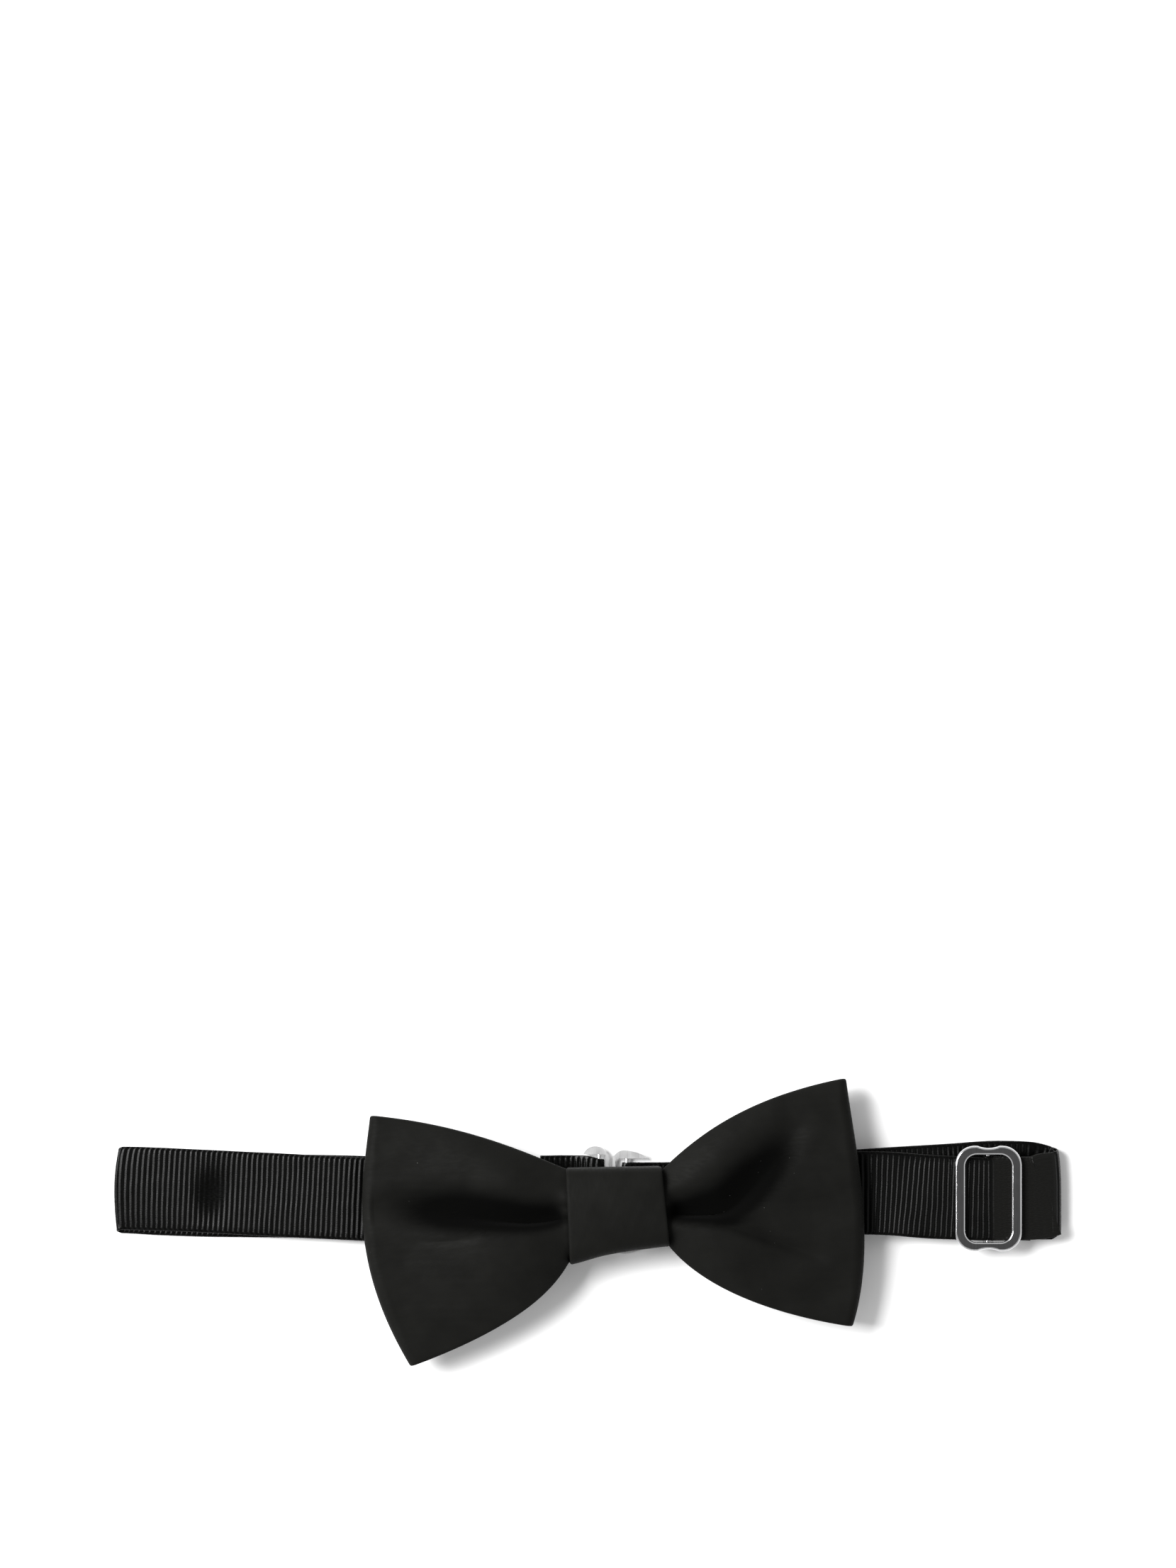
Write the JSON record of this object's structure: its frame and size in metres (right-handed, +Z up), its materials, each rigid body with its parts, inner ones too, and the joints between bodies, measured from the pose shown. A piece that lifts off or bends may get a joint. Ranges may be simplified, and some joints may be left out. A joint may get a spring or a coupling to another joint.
{
  "type": "bow tie",
  "caption": "Pre-tied silk bow tie on an adjustable grosgrain neck strap, with a metal slider and a hook-and-eye clasp behind the knot",
  "frame": {"origin": "centre of the underside of the whole tie as it lies flat and closed", "axes": "+X along the strap towards the slider, +Y across the strap towards the higher wing corner, +Z up, out of the front of the bow"},
  "size_m": [0.2156, 0.0658, 0.015],
  "materials": {
    "bow_silk": "black woven silk, dull sheen",
    "interfacing": "white woven stiffening",
    "grosgrain": "black ribbed grosgrain ribbon with a woven edge",
    "thread": "black sewing thread",
    "clasp_metal": "bright plated stamping",
    "slider_metal": "polished plated casting"
  },
  "bodies": {
    "band": {"strap_front": "grosgrain", "strap_left_fold": "grosgrain", "strap_right_fold": "grosgrain", "strap_return_fold": "grosgrain", "strap_return_run": "grosgrain"},
    "left_tail": {"strap_left_tail": "grosgrain", "strap_hook_loop": "grosgrain", "hook_bar_tack": "thread"},
    "hook": {"hook": "clasp_metal"},
    "right_tail": {"strap_right_tail": "grosgrain", "strap_eye_loop": "grosgrain", "strap_return_tail": "grosgrain"},
    "eye": {"eye": "clasp_metal"},
    "slider": {"slider": "slider_metal", "strap_slider_loop": "grosgrain", "slider_bar_tack": "thread"},
    "bow": {"bow_left_wing": "bow_silk", "bow_right_wing": "bow_silk", "bow_centre": "bow_silk", "bow_left_lining": "interfacing", "bow_right_lining": "interfacing", "gather_thread": "thread", "knot_wrap": "bow_silk", "knot_pad": "interfacing", "knot_back_stitches": "thread"}
  },
  "joints": [
    {"name": "left_fold", "type": "hinge", "parent": "band", "child": "left_tail", "pos_m": [-0.1067, 0.0071, 0.0011], "axis": [0, 1, 0], "range_deg": [0, 180], "deforming": ["strap_left_fold"]},
    {"name": "right_fold", "type": "hinge", "parent": "band", "child": "right_tail", "pos_m": [0.10547, 0.0054, 0.00232], "axis": [0, -1, 0], "range_deg": [0, 180], "deforming": ["strap_right_fold", "strap_return_fold"]},
    {"name": "hook_swing", "type": "hinge", "parent": "left_tail", "child": "hook", "pos_m": [0.00225, 0.0053, 0.00125], "axis": [0, 1, 0], "range_deg": [-12, 12]},
    {"name": "eye_swing", "type": "hinge", "parent": "right_tail", "child": "eye", "pos_m": [0.00855, 0.0044, 0.00125], "axis": [0, -1, 0], "range_deg": [-12, 12]},
    {"name": "slider_slide", "type": "slide", "parent": "band", "child": "slider", "axis": [1, 0, 0], "range_m": [-0.012, 0.004], "deforming": ["strap_return_run"]},
    {"name": "bow_slide", "type": "slide", "parent": "band", "child": "bow", "axis": [1, 0, 0], "range_m": [-0.006, 0.006]}
  ]
}
